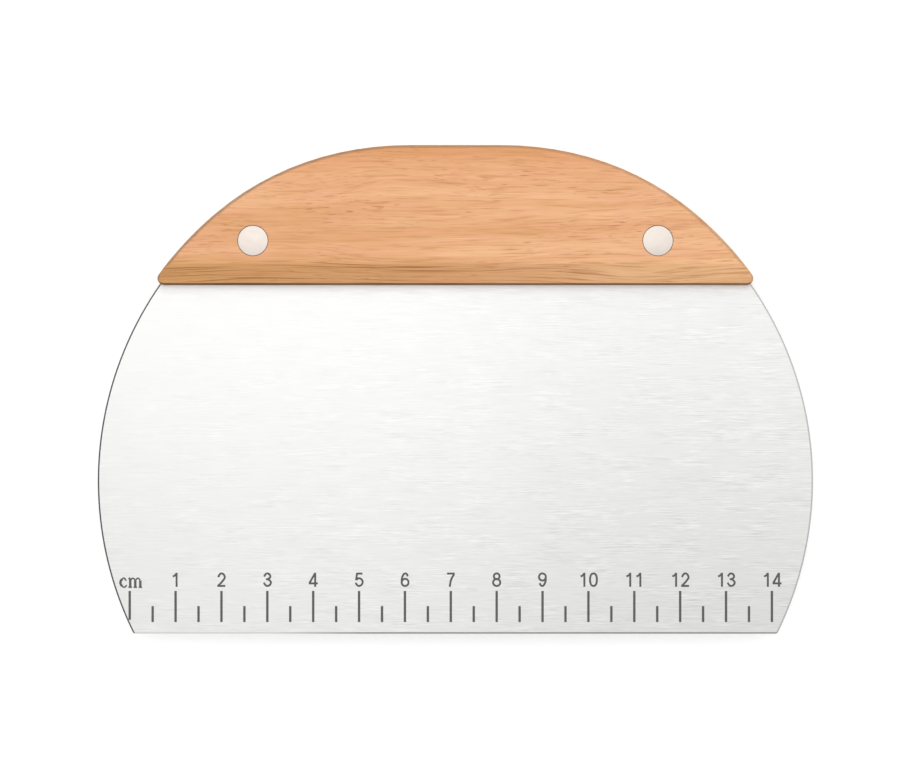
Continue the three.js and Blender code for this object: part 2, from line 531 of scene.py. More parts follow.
# %% Turn one post and one sleeve
POST_DIAMETER = 2.9 * MM
POST_TAPER = 0.5 * MM
POST_END_GAP = 1 * MM
SLEEVE_DIAMETER = 4.5 * MM
SLEEVE_BORE = 3 * MM
SLEEVE_END_GAP = 0.3 * MM

under_head = front - HEAD_THICKNESS
shank = 2 * under_head
post = turn_head("post_left")
bpy.ops.mesh.inset(thickness=(HEAD_DIAMETER - POST_DIAMETER) / 2)
draw_out(shank - POST_END_GAP - 2 * POST_TAPER)
draw_out(2 * POST_TAPER)
tip = 1 - 2 * POST_TAPER / POST_DIAMETER
bpy.ops.transform.resize(value=(tip, tip, 1), center_override=(0, 0, 0))
mode("OBJECT")

sleeve = turn_head("sleeve_left")
bpy.ops.mesh.inset(thickness=(HEAD_DIAMETER - SLEEVE_DIAMETER) / 2)
draw_out(shank - SLEEVE_END_GAP)
bpy.ops.mesh.inset(thickness=(SLEEVE_DIAMETER - SLEEVE_BORE) / 2)
draw_out(SLEEVE_END_GAP - shank)
pick_all()
bpy.ops.transform.rotate(value=math.pi, orient_axis="X", center_override=(0, 0, 0))
mode("OBJECT")
print("post:", len(post.data.polygons), "faces, sleeve:", len(sleeve.data.polygons), "faces")

# %% [markdown]
# Post and sleeve are copied to the other side, each copy with its own mesh, and all four go where the
# packed rivets are.

# %% Set both rivets
RIVET_SHARPEST = 35

rivet_halves = {"post": [post], "sleeve": [sleeve]}
for kind, halves in rivet_halves.items():
    work_on(halves[0])
    bpy.ops.object.duplicate(linked=False)
    halves.append(name_piece(f"{kind}_right"))
    for half, x in zip(halves, rivet_sides.values()):
        half.location = (x, rivet_y, 0)
        work_on(half)
        settle()
        mode("EDIT")
        face_outwards()
        mode("OBJECT")
        shade(half, RIVET_SHARPEST)
print("rivets set:", [half.name for halves in rivet_halves.values() for half in halves])

# %% [markdown]
# ## The scale
# The blade carries a centimetre scale, etched dark into the steel. A real etching has no height to
# speak of, so each mark is a sliver 0.03 mm proud of the sheet, just enough to lie cleanly on it.

# %% Etch one mark
SCALE_ZERO = -71 * MM
MARK_FOOT = 2.55 * MM
MARK_WIDTH = 0.53 * MM
MARK_SUNK = 0.03 * MM
MARK_PROUD = 0.03 * MM
MARK_CORNER = 0.08 * MM
MARK_CORNER_STEPS = 2

mark_base = blade_high.z - MARK_SUNK
mark_height = MARK_SUNK + MARK_PROUD


def etch_mark(length):
    """One mark at the scale's zero."""
    start_alone()
    bpy.ops.mesh.primitive_plane_add(
        size=1, location=(SCALE_ZERO, MARK_FOOT + length / 2, mark_base)
    )
    bpy.ops.transform.resize(value=(MARK_WIDTH, length, 1))
    settle()
    mode("EDIT")
    pick_all()
    round_off(MARK_CORNER, MARK_CORNER_STEPS, "VERTICES")
    pick_all()
    extrude(mark_height)
    face_outwards()
    mode("OBJECT")
    return bpy.context.object


print("marks:", round(MARK_WIDTH / MM, 2), "mm wide")

# %% [markdown]
# One long and one short mark are modelled and then copied along the edge. The round side of the sheet
# runs close by the foot of the zero mark, so that foot is lifted clear of it.

# %% Lay out the marks
CENTIMETRE = 10 * MM
CENTIMETRES = 14
LONG_MARK = 6.8 * MM
SHORT_MARK = 3.5 * MM
ZERO_MARK_LIFT = 0.5 * MM


def repeat_mark(mark, offsets):
    """Copies a mark along the edge, and moves the first one to the first place."""
    marks = [mark]
    for offset in offsets[1:]:
        work_on(mark)
        bpy.ops.object.duplicate(linked=False)
        bpy.context.object.location.x = offset
        marks.append(bpy.context.object)
    mark.location.x = offsets[0]
    return marks


def join_pieces(parts, name):
    """Joins parts into one piece whose place is in its mesh."""
    start_alone()
    for part in parts:
        part.select_set(True)
    bpy.context.view_layer.objects.active = parts[0]
    settle()
    bpy.ops.object.join()
    return name_piece(name)


whole = [step * CENTIMETRE for step in range(CENTIMETRES + 1)]
halves_between = [place + CENTIMETRE / 2 for place in whole[:-1]]
ticks = repeat_mark(etch_mark(LONG_MARK), whole) + repeat_mark(etch_mark(SHORT_MARK), halves_between)
work_on(ticks[0])
mode("EDIT")
pick("VERT", lambda vert: vert.co.y < MARK_FOOT + LONG_MARK / 2)
bpy.ops.transform.translate(value=(0, ZERO_MARK_LIFT, 0))
mode("OBJECT")
scale_ticks = join_pieces(ticks, "scale_ticks")
print("scale:", len(ticks), "marks")

# %% [markdown]
# The numerals are drawn as an engraver would: one stroke of an even pen after the other. The strokes
# below are in parts of the numeral's height. A stroke that ends where it began is closed.

# %% Strokes of the numerals
NUMERALS = {
    "0": [[(0.33, 0.94), (0.09, 0.5), (0.33, 0.06), (0.57, 0.5), (0.33, 0.94)]],
    "1": [[(0.4, 0.0), (0.4, 0.99)], [(0.13, 0.72), (0.28, 0.8), (0.39, 0.94)]],
    "2": [
        [(0.09, 0.69), (0.33, 0.94), (0.56, 0.7), (0.42, 0.42), (0.1, 0.07)],
        [(0.04, 0.06), (0.6, 0.06)],
    ],
    "3": [
        [(0.09, 0.73), (0.32, 0.94), (0.54, 0.73), (0.36, 0.54), (0.23, 0.53)],
        [(0.25, 0.54), (0.4, 0.51), (0.58, 0.28), (0.32, 0.06), (0.07, 0.28)],
    ],
    "4": [[(0.47, 0.0), (0.47, 0.99)], [(0.44, 0.92), (0.08, 0.28)], [(0.02, 0.24), (0.65, 0.24)]],
    "5": [
        [(0.18, 0.93), (0.57, 0.93)], [(0.19, 0.97), (0.12, 0.46)],
        [(0.12, 0.48), (0.34, 0.6), (0.58, 0.33), (0.32, 0.06), (0.07, 0.27)],
    ],
    "6": [
        [(0.34, 0.06), (0.58, 0.31), (0.34, 0.56), (0.1, 0.31), (0.34, 0.06)],
        [(0.55, 0.75), (0.36, 0.94), (0.14, 0.68), (0.1, 0.34)],
    ],
    "7": [[(0.06, 0.93), (0.6, 0.93)], [(0.57, 0.9), (0.36, 0.52), (0.25, 0.0)]],
    "8": [
        [(0.33, 0.94), (0.13, 0.74), (0.33, 0.53), (0.53, 0.74), (0.33, 0.94)],
        [(0.33, 0.55), (0.08, 0.3), (0.33, 0.06), (0.58, 0.3), (0.33, 0.55)],
    ],
    "9": [
        [(0.32, 0.94), (0.08, 0.69), (0.32, 0.44), (0.56, 0.69), (0.32, 0.94)],
        [(0.11, 0.25), (0.3, 0.06), (0.52, 0.32), (0.56, 0.66)],
    ],
}
print("strokes:", sum(len(strokes) for strokes in NUMERALS.values()), "for", len(NUMERALS), "numerals")

# %% [markdown]
# Each stroke is a smooth Bezier curve with a round bevel for the pen, made a mesh and pressed flat, and
# the strokes of one sign are fused with a Boolean.

# %% Pen
PEN_STEPS = 8
PEN_ROUNDNESS = 2


def draw_stroke(stroke, height, place, pen):
    """One flat pen stroke, whose sign has its lower left corner at a place on the blade."""
    start_alone()
    bpy.ops.curve.primitive_bezier_curve_add()
    drawing = bpy.context.object
    drawing.data.dimensions = "3D"
    drawing.data.bevel_depth = pen / 2
    drawing.data.bevel_resolution = PEN_ROUNDNESS
    drawing.data.use_fill_caps = True
    drawing.data.resolution_u = PEN_STEPS
    closed = stroke[0] == stroke[-1]
    points = stroke[:-1] if closed else stroke
    path = drawing.data.splines[0]
    path.use_cyclic_u = closed
    if len(points) > len(path.bezier_points):
        path.bezier_points.add(len(points) - len(path.bezier_points))
    for turn, (x, y) in zip(path.bezier_points, points):
        turn.co = (place[0] + x * height, place[1] + y * height, 0)
        turn.handle_left_type = turn.handle_right_type = "AUTO"
    bpy.ops.object.convert(target="MESH")
    mode("EDIT")
    face_outwards()
    bpy.ops.transform.resize(value=(1, 1, mark_height / pen), center_override=(0, 0, 0))
    bpy.ops.transform.translate(value=(0, 0, mark_base + mark_height / 2))
    mode("OBJECT")
    return bpy.context.object


def draw_sign(strokes, height, place):
    """The strokes of one sign, each with its own pen, fused into one flat piece."""
    first, *others = [draw_stroke(stroke, height, place, pen) for pen, stroke in strokes]
    for other in others:
        boolean(first, other, "UNION")
    work_on(first)
    mode("EDIT")
    pick_all()
    bpy.ops.mesh.dissolve_degenerate(threshold=MERGE_WITHIN)
    mode("OBJECT")
    return first


print("strokes pressed to", round(mark_height / MM, 2), "mm")

# %% [markdown]
# Each number stands centred over its mark. A digit's width and the step from one digit to the next are
# in parts of the numeral's height too.

# %% Draw the numerals
NUMERAL_HEIGHT = 3.1 * MM
NUMERAL_FOOT = 10.25 * MM
NUMERAL_WIDTH = 0.66
NUMERAL_PITCH = 0.71
PEN_WIDTH = 0.44 * MM

numerals = []
for number in range(1, CENTIMETRES + 1):
    digits = str(number)
    width = ((len(digits) - 1) * NUMERAL_PITCH + NUMERAL_WIDTH) * NUMERAL_HEIGHT
    left = SCALE_ZERO + number * CENTIMETRE - width / 2
    for position, digit in enumerate(digits):
        corner = (left + position * NUMERAL_PITCH * NUMERAL_HEIGHT, NUMERAL_FOOT)
        strokes = [(PEN_WIDTH, stroke) for stroke in NUMERALS[digit]]
        numerals.append(draw_sign(strokes, NUMERAL_HEIGHT, corner))
scale_numerals = join_pieces(numerals, "scale_numerals")
print("numerals:", len(numerals), "digits")

# %% [markdown]
# The unit over the zero mark is set in a bookish type: heavy stems, thin arches between them, feet, and
# a drop at the upper end of the round letter. So it gets two pens.

# %% Draw the unit
UNIT_HEIGHT = 2.2 * MM
UNIT_FOOT = 10.05 * MM
UNIT_SHIFT = 0.2 * MM
UNIT_WIDTH = 2.28
BROAD_PEN = 0.53 * MM
FINE_PEN = 0.34 * MM
UNIT_STROKES = {
    BROAD_PEN: [
        [(0.3, 0.84), (0.17, 0.68), (0.13, 0.5), (0.17, 0.32), (0.3, 0.16)],
        [(0.63, 0.7), (0.66, 0.78)],
        [(1.1, 0.05), (1.1, 0.92)], [(1.6, 0.05), (1.6, 0.72)], [(2.1, 0.05), (2.1, 0.72)],
    ],
    FINE_PEN: [
        [(0.2, 0.74), (0.45, 0.95), (0.68, 0.78)], [(0.2, 0.26), (0.48, 0.05), (0.77, 0.25)],
        [(0.92, 0.88), (1.11, 0.97)],
        [(1.12, 0.74), (1.38, 0.94), (1.57, 0.74)], [(1.62, 0.74), (1.88, 0.94), (2.07, 0.74)],
        [(0.92, 0.05), (1.28, 0.05)], [(1.43, 0.05), (1.78, 0.05)], [(1.93, 0.05), (2.28, 0.05)],
    ],
}
unit_corner = (SCALE_ZERO + UNIT_SHIFT - UNIT_WIDTH * UNIT_HEIGHT / 2, UNIT_FOOT)
pen_strokes = [(pen, stroke) for pen, strokes in UNIT_STROKES.items() for stroke in strokes]
scale_unit = join_pieces([draw_sign(pen_strokes, UNIT_HEIGHT, unit_corner)], "scale_unit")
print("unit:", len(scale_unit.data.polygons), "faces")

# %% [markdown]
# ## Making materials
# Every finish below is built from nodes on Object coordinates, so that it stays fixed to the piece and
# needs no picture. One small function adds a node, and another turns the hex colours that a paint
# program shows into the linear light that the renderer reckons in. What is the same all over a surface
# is a value on its shader. The sockets of a Mix node go by number, because their names repeat.

# %% Helpers for materials
def linear(hex_code):
    """A colour such as d8d8d6 as linear red, green, blue and alpha, by the sRGB curve."""
    channels = [int(hex_code[place:place + 2], 16) / 255 for place in (0, 2, 4)]
    return [
        channel / 12.92 if channel <= 0.04045 else ((channel + 0.055) / 1.055) ** 2.4
        for channel in channels
    ] + [1]


def fill_inputs(tree, node, inputs):
    """Gives inputs of a node their links, or their values straight on the socket."""
    for socket, value in dict(inputs).items():
        if isinstance(value, bpy.types.NodeSocket):
            tree.links.new(value, node.inputs[socket])
        else:
            node.inputs[socket].default_value = value


def add_node(tree, kind, inputs=(), **settings):
    """Adds a node, sets it up and fills its inputs."""
    node = tree.nodes.new(kind)
    for name, value in settings.items():
        setattr(node, name, value)
    fill_inputs(tree, node, inputs)
    return node


def new_finish(name):
    """A new material, with its node tree, its surface shader, and the place on the piece."""
    finish = bpy.data.materials.new(name)
    finish.use_nodes = True
    tree = finish.node_tree
    place = add_node(tree, "ShaderNodeTexCoord").outputs["Object"]
    return finish, tree, tree.nodes["Principled BSDF"], place


def wear(piece, *finishes):
    """Gives a piece these finishes and no other."""
    piece.data.materials.clear()
    for finish in finishes:
        piece.data.materials.append(finish)


MIX_SHARE, FLOAT_A, FLOAT_B, MIX_A, MIX_B, MIX_RESULT = 0, 2, 3, 6, 7, 2
print("material helpers ready")

# %% [markdown]
# Brushed lines, wood grain and oxide are all noise that is stretched to the size of the real marks, and
# lines are swayed a little, because no real one is quite straight. A mask then says where a feature
# shows: it fades as what it looks at goes from one value to another, such as a height or the way that
# the surface faces, and one mask can limit another.

# %% Helpers for patterns
NOISE_ROUGHNESS = 0.55


def noise_layers(tree, place, layers):
    """Soft noise for each named layer, whose grains have the given size in mm along x, y and z."""
    made = {}
    for name, (size, detail) in layers.items():
        fitted = add_node(
            tree, "ShaderNodeMapping",
            {"Vector": place, "Scale": [1 / (length * MM) for length in size]}, vector_type="POINT",
        )
        noise = add_node(
            tree, "ShaderNodeTexNoise",
            {"Vector": fitted.outputs[0], "Scale": 1, "Detail": detail, "Roughness": NOISE_ROUGHNESS},
        )
        made[name] = noise.outputs[0]
    return made


def swayed(tree, place, size, reach, axes):
    """The place on the piece, pushed to and fro along these axes by noise of the given size in mm."""
    noise = noise_layers(tree, place, {"sway": (size, 1)})["sway"]
    push = add_node(tree, "ShaderNodeMapRange", {"Value": noise, "To Min": -reach, "To Max": reach})
    shift = add_node(tree, "ShaderNodeCombineXYZ", {axis: push.outputs[0] for axis in axes})
    moved = add_node(tree, "ShaderNodeVectorMath", {0: place, 1: shift.outputs[0]}, operation="ADD")
    return moved.outputs[0]


def faded_masks(tree, fades, limits, curve="LINEAR"):
    """A mask for each fade, and then the limits that some of them put on others.

    A fade says what it looks at, where it starts and where it is full, and the mask's values there.
    """
    masks = {}
    for name, (value, start, full, at_start, at_full) in fades.items():
        masks[name] = add_node(
            tree, "ShaderNodeMapRange",
            {"Value": value, "From Min": start, "From Max": full, "To Min": at_start, "To Max": at_full},
            interpolation_type=curve,
        ).outputs[0]
    for name, limit in limits:
        masks[name] = add_node(
            tree, "ShaderNodeMath", {0: masks[name], 1: masks[limit]}, operation="MULTIPLY",
        ).outputs[0]
    return masks


print("pattern helpers ready")

# %% [markdown]
# ## Hairline brushed stainless steel
# The sheet was drawn under an abrasive belt, which leaves fine lines from side to side, a few millimetres
# long and never quite straight. The belt bit unevenly in patches, and the lines are painted faint at the
# upper left and clear at the lower right, where the light on the blade falls off; a few of them carry a
# painted highlight. The real lines are hundredths of a millimetre wide, too fine to show in the picture,
# so they are drawn a quarter of a millimetre wide here.

# %% Lines of the abrasive belt
LINE_SWAY = 0.25 * MM
SHORT_LINE_SHARE = 0.45
BELT_MARK_SHARE = 0.15
CLEARER_WAY = (0.6, -1, 0)


def brushing(tree, place):
    """The lines, and masks for how light they are, how strongly they show and where a painted highlight
    lies.
    """
    layers = noise_layers(tree, swayed(tree, place, (16, 5, 5), LINE_SWAY, "Y"), {
        "long lines": ((8, 0.3, 5), 2),
        "short lines": ((2.8, 0.22, 5), 2),
        "belt marks": ((14, 2.2, 5), 2),
        "painted glint lines": ((5, 0.28, 5), 1),
        "bite": ((9, 3.5, 5), 1),
    })
    lines = add_node(
        tree, "ShaderNodeMix",
        {MIX_SHARE: SHORT_LINE_SHARE, FLOAT_A: layers["long lines"], FLOAT_B: layers["short lines"]},
        data_type="FLOAT",
    ).outputs[0]
    uneven = add_node(
        tree, "ShaderNodeMix",
        {MIX_SHARE: BELT_MARK_SHARE, FLOAT_A: lines, FLOAT_B: layers["belt marks"]}, data_type="FLOAT",
    ).outputs[0]
    lower_right = add_node(
        tree, "ShaderNodeVectorMath", {0: place, 1: CLEARER_WAY}, operation="DOT_PRODUCT",
    ).outputs["Value"]
    fades = {
        "lightness": (uneven, 0.36, 0.64, 0, 1),
        # A painted highlight lies on a few lines, where this noise is high.
        "painted glint lines": (layers["painted glint lines"], 0.68, 0.82, 0, 0.8),
        "bite": (layers["bite"], 0.38, 0.64, 0.25, 1),
        # The lines are painted clearer towards the lower right, where the light on the blade falls off.
        "clearness": (lower_right, -105 * MM, 32 * MM, 0.12, 1),
    }
    return lines, faded_masks(tree, fades, (("clearness", "bite"), ("painted glint lines", "clearness")))


print("brushed lines sway by", LINE_SWAY / MM, "mm")

# %% [markdown]
# Where the lines are faint, the steel keeps its middle tone. The lines spread a reflection across
# themselves and hardly along, which the shader's anisotropy gives: its tangent runs across the lines.

# %% Brushed steel
STEEL_LIGHT = linear("eaeae9")
STEEL_DARK = linear("c6c6c5")
# A painted highlight: the near-white that a few lines take.
STEEL_PAINTED_GLINT = linear("f5f5f4")
MIDDLE_TONE = 0.5
SCRATCH_DEPTH = 0.01 * MM


def hairline_steel():
    finish, tree, shader, place = new_finish("hairline brushed stainless steel")
    lines, masks = brushing(tree, place)
    lightness = add_node(
        tree, "ShaderNodeMix",
        {MIX_SHARE: masks["clearness"], FLOAT_A: MIDDLE_TONE, FLOAT_B: masks["lightness"]},
        data_type="FLOAT",
    )
    brushed = add_node(
        tree, "ShaderNodeMix",
        {MIX_SHARE: lightness.outputs[0], MIX_A: STEEL_DARK, MIX_B: STEEL_LIGHT}, data_type="RGBA",
    )
    # A few lines take a painted highlight, near-white.
    colour = add_node(
        tree, "ShaderNodeMix",
        {MIX_SHARE: masks["painted glint lines"], MIX_A: brushed.outputs[MIX_RESULT], MIX_B: STEEL_PAINTED_GLINT},
        data_type="RGBA",
    )
    rough = add_node(
        tree, "ShaderNodeMapRange",
        {"Value": lines, "From Min": 0.3, "From Max": 0.7, "To Min": 0.36, "To Max": 0.3},
    )
    scratch = add_node(
        tree, "ShaderNodeBump", {"Strength": 0.25, "Distance": SCRATCH_DEPTH, "Height": lines},
    )
    across = add_node(tree, "ShaderNodeCombineXYZ", {"Y": 1.0})
    fill_inputs(tree, shader, {
        "Metallic": 1, "Anisotropic": 0.6, "Tangent": across.outputs[0],
        "Base Color": colour.outputs[MIX_RESULT], "Roughness": rough.outputs[0],
        "Normal": scratch.outputs[0],
    })
    return finish


brushed_face = hairline_steel()
print("finish:", brushed_face.name)

# %% [markdown]
# The punched and broken edge is duller than the brushed faces. Its marks run across the sheet and are
# drawn coarser than real ones, so that they show. Its tone is painted: painted shade where the edge faces
# left, painted light where it faces right, and a painted highlight on the working edge towards its left
# end. So its tone follows the way that the edge faces, and there also the place along the edge.

# %% Sheared edge
# Painted shade for edges that face left, painted light for edges that face right, and a painted highlight
# on the left end of the working edge.
EDGE_PAINTED_SHADE = linear("4a4a4c")
EDGE_PAINTED_LIGHT = linear("bcbcba")
EDGE_PAINTED_HIGHLIGHT = linear("dededc")
SHEAR_MARK_SHARE = 0.15


def sheared_steel():
    finish, tree, shader, place = new_finish("sheared stainless steel edge")
    marks = noise_layers(tree, place, {"shear marks": ((0.6, 0.6, 3), 2)})["shear marks"]
    facing = add_node(tree, "ShaderNodeTexCoord").outputs["Normal"]
    tilted = add_node(tree, "ShaderNodeSeparateXYZ", {0: facing}).outputs["Z"]
    level = add_node(tree, "ShaderNodeVectorMath", {0: facing, 1: (1, 1, 0)}, operation="MULTIPLY")
    outward = add_node(tree, "ShaderNodeVectorMath", {0: level.outputs[0]}, operation="NORMALIZE")
    turned = add_node(tree, "ShaderNodeSeparateXYZ", {0: outward.outputs[0]}).outputs
    along = add_node(tree, "ShaderNodeSeparateXYZ", {0: place}).outputs["X"]
    # Edges are painted lighter the more they face to the right, and the working edge gets a painted
    # highlight towards its left end.
    fades = {
        "painted light rightward": (turned["X"], -1, 1, 0, 1),
        "painted highlight": (turned["Y"], -0.9, -0.98, 0, 1),
        "left end": (along, -20 * MM, -40 * MM, 0, 1),
        "broken": (tilted, 0.05, 0.2, 0, 1),
    }
    masks = faded_masks(tree, fades, (("painted highlight", "left end"), ("painted highlight", "broken")))
    uneven = add_node(
        tree, "ShaderNodeMath", {0: marks, 1: SHEAR_MARK_SHARE, 2: masks["painted light rightward"]},
        operation="MULTIPLY_ADD",
    )
    colour = add_node(
        tree, "ShaderNodeMix",
        {MIX_SHARE: uneven.outputs[0], MIX_A: EDGE_PAINTED_SHADE, MIX_B: EDGE_PAINTED_LIGHT}, data_type="RGBA",
    )
    # A painted highlight on the working edge towards its left end.
    highlighted = add_node(
        tree, "ShaderNodeMix",
        {MIX_SHARE: masks["painted highlight"], MIX_A: colour.outputs[MIX_RESULT], MIX_B: EDGE_PAINTED_HIGHLIGHT}, data_type="RGBA",
    )
    fill_inputs(tree, shader, {
        "Metallic": 1, "Base Color": highlighted.outputs[MIX_RESULT], "Roughness": 0.45,
    })
    return finish


FLAT_ENOUGH = 0.99
wear(blade, brushed_face, sheared_steel())
edge_faces = 0
for face in blade.data.polygons:
    if abs(face.normal.z) < FLAT_ENOUGH:
        face.material_index = 1
        edge_faces += 1
print("blade: brushed faces", len(blade.data.polygons) - edge_faces, "edge faces", edge_faces)

# %% [markdown]
# ## Oiled hardwood
# The handle is a pale, open-pored hardwood, rubbed with oil. Its vessels show on the face as thin dark
# dashes along the grain, in clusters, between faint bands of peach and tan that follow the growth rings.
# On the ends the vessels are cut across and show as dots, which a solid pattern gives by itself.

# %% Grain of the wood
GRAIN_SWAY = 2.5 * MM


def wood_grain(tree, place):
    """Noise for each feature of the growth, drawn out along the board."""
    return noise_layers(tree, swayed(tree, place, (55, 14, 14), GRAIN_SWAY, "YZ"), {
        "rings": ((110, 4.5, 9), 2),
        "patches": ((9, 2.2, 6), 2),
        "fibres": ((11, 0.28, 0.28), 2),
        "streaks": ((10, 0.42, 0.42), 1),
        "pores": ((3.4, 0.3, 0.3), 1),
        "clusters": ((22, 6, 8), 1),
        "late lines": ((32, 0.36, 0.36), 1),
    })


print("grain sways by", GRAIN_SWAY / MM, "mm")

# %% [markdown]
# Dense late wood lies along the lower edge and shows there as long brown lines. The band is tan and
# darker at the left, partly its own tone and partly painted shade, and lighter at the right, where a
# painted light lies on it. The rounded edges carry a painted shade, strongest at the left, and the
# underside has a painted shade where it meets the steel. So the masks look at the grain, at the place on
# the board, and at the way that its surface faces.

# %% Masks of the wood
def wood_masks(tree, place):
    """How strongly each growth feature and each painted shade or light shows, from 0 to 1."""
    layers = wood_grain(tree, place)
    where = add_node(tree, "ShaderNodeSeparateXYZ", {0: place}).outputs
    facing = add_node(tree, "ShaderNodeTexCoord").outputs["Normal"]
    turned = add_node(tree, "ShaderNodeSeparateXYZ", {0: facing}).outputs
    topward = add_node(tree, "ShaderNodeMath", {0: turned["Y"], 1: 0.0}, operation="MAXIMUM")
    rim = add_node(tree, "ShaderNodeCombineXYZ", {"X": turned["X"], "Y": topward.outputs[0]})
    outward = add_node(tree, "ShaderNodeVectorMath", {0: rim.outputs[0]}, operation="LENGTH")
    sloping = add_node(tree, "ShaderNodeMath", {0: turned["Z"]}, operation="ABSOLUTE")
    fades = {
        "rings": (layers["rings"], 0.35, 0.65, 0, 1),
        "patches": (layers["patches"], 0.45, 0.65, 0, 0.45),
        "fibres": (layers["fibres"], 0.3, 0.7, 0, 1),
        "streaks": (layers["streaks"], 0.54, 0.7, 0, 0.6),
        "pores": (layers["pores"], 0.59, 0.74, 0, 0.7),
        "clusters": (layers["clusters"], 0.42, 0.62, 0, 1),
        "late lines": (layers["late lines"], 0.54, 0.68, 0, 0.85),
        # The late band: its own tone, laid on darker at the left as painted shade.
        "late": (where["Y"], 82.5 * MM, 80 * MM, 0, 1),
        "leftward": (where["X"], 45 * MM, -65 * MM, 0, 1),
        # A painted light on the lower band towards the right.
        "painted light band": (where["Y"], 82.5 * MM, 80 * MM, 0, 0.5),
        "painted light rightward": (where["X"], 0, 50 * MM, 0, 1),
        "faint right": (where["X"], 65 * MM, 5 * MM, 0.3, 1),
        "top": (where["Y"], 94 * MM, 105 * MM, 0, 0.55),
        # A painted shade on the rounded edges, strongest on the left.
        "edge": (outward.outputs["Value"], 0.3, 0.75, 0, 0.9),
        "rim": (outward.outputs["Value"], 0.93, 1, 1, 0.4),
        # The painted shade on the rounded edges is strongest where they face left.
        "painted shade leftward": (turned["X"], -0.3, 0.2, 1, 0.6),
        # A painted shade on the underside, where it meets the steel.
        "underside": (turned["Y"], -0.62, -0.85, 0, 0.95),
        "upright": (sloping.outputs[0], 0.34, 0.1, 1, 0.45),
    }
    limits = (
        ("pores", "clusters"), ("late lines", "late"), ("late lines", "faint right"),
        ("late", "leftward"), ("painted light band", "painted light rightward"), ("edge", "rim"), ("edge", "painted shade leftward"),
        ("underside", "upright"),
    )
    return faded_masks(tree, fades, limits, curve="SMOOTHSTEP")


print("wood masks ready")

# %% [markdown]
# The colours are laid over one another, the broad bands first and the thin dashes after them. Fibres,
# the painted shade on the rounded edges and the painted shade on the underside tint whatever lies below
# them, so they multiply its colour.

# %% Oiled hardwood
WOOD_PEACH = linear("f3bc8d")
WOOD_TAN = linear("e5a975")
WOOD_PINK = linear("f0b08a")
WOOD_TOP = linear("dd985f")
WOOD_FIBRE = linear("f5f0ea")
WOOD_STREAK = linear("cd8d58")
WOOD_PORE = linear("b0744a")
# Late wood's tone, laid on darker at the left as painted shade.
WOOD_LATE_AND_SHADE = linear("e0a76c")
# A painted light on the lower band towards the right.
WOOD_PAINTED_LIGHT = linear("fecd94")
WOOD_LINE = linear("a26937")
# A painted shade, multiplied onto the rounded edges.
WOOD_PAINTED_EDGE_SHADE = linear("bac5d2")
# A painted shade, multiplied onto the underside beside the steel.
WOOD_PAINTED_UNDERSIDE_SHADE = linear("807570")
FIBRE_FURROW = 0.3
PORE_DEPTH = 0.05 * MM


def oiled_hardwood():
    finish, tree, shader, place = new_finish("oiled open-pored hardwood")
    masks = wood_masks(tree, place)
    colour = WOOD_PEACH
    for name, tone, blend in (
        ("rings", WOOD_TAN, "MIX"), ("patches", WOOD_PINK, "MIX"), ("top", WOOD_TOP, "MIX"),
        # The late band carries painted shade at the left, and the band at the right a painted light.
        ("late", WOOD_LATE_AND_SHADE, "MIX"), ("painted light band", WOOD_PAINTED_LIGHT, "MIX"), ("fibres", WOOD_FIBRE, "MULTIPLY"),
        ("streaks", WOOD_STREAK, "MIX"), ("late lines", WOOD_LINE, "MIX"), ("pores", WOOD_PORE, "MIX"),
        # The last two are painted shade, multiplied onto the rounded edges and onto the underside.
        ("edge", WOOD_PAINTED_EDGE_SHADE, "MULTIPLY"), ("underside", WOOD_PAINTED_UNDERSIDE_SHADE, "MULTIPLY"),
    ):
        colour = add_node(
            tree, "ShaderNodeMix",
            {MIX_SHARE: masks[name], MIX_A: colour, MIX_B: tone}, data_type="RGBA", blend_type=blend,
        ).outputs[MIX_RESULT]
    rough = add_node(
        tree, "ShaderNodeMapRange", {"Value": masks["fibres"], "To Min": 0.5, "To Max": 0.62},
    )
    furrow = add_node(
        tree, "ShaderNodeMath", {0: masks["fibres"], 1: FIBRE_FURROW, 2: masks["pores"]},
        operation="MULTIPLY_ADD",
    )
    relief = add_node(
        tree, "ShaderNodeBump",
        {"Strength": 0.25, "Distance": PORE_DEPTH, "Height": furrow.outputs[0]}, invert=True,
    )
    fill_inputs(tree, shader, {
        "IOR": 1.45, "Base Color": colour, "Roughness": rough.outputs[0], "Normal": relief.outputs[0],
    })
    return finish


wear(handle, oiled_hardwood())
print("handle:", handle.data.materials[0].name)

# %% [markdown]
# ## Satin aluminium and dark etching
# The rivet heads were pressed flush and sanded with the wood: soft, almost white metal with a faint
# warm tint and a few cloudy patches. Its sanding lines are drawn coarser than real ones, and only vary
# the roughness. The etched marks are a dull grey oxide with no gloss to speak of.

# %% Rivet metal and etched marks
RIVET_DULL = linear("d1c6bf")
RIVET_BRIGHT = linear("ded5cc")
OXIDE_DARK = linear("545454")
OXIDE_LIGHT = linear("6a6a6a")


def satin_aluminium():
    finish, tree, shader, place = new_finish("satin aluminium")
    layers = noise_layers(tree, place, {
        "clouds": ((2.2, 2.2, 2.2), 2),
        "sanding": ((2.5, 0.12, 0.12), 1),
    })
    colour = add_node(
        tree, "ShaderNodeMix",
        {MIX_SHARE: layers["clouds"], MIX_A: RIVET_DULL, MIX_B: RIVET_BRIGHT}, data_type="RGBA",
    )
    rough = add_node(
        tree, "ShaderNodeMapRange", {"Value": layers["sanding"], "To Min": 0.36, "To Max": 0.52},
    )
    fill_inputs(tree, shader, {
        "Metallic": 1, "Base Color": colour.outputs[MIX_RESULT], "Roughness": rough.outputs[0],
    })
    return finish


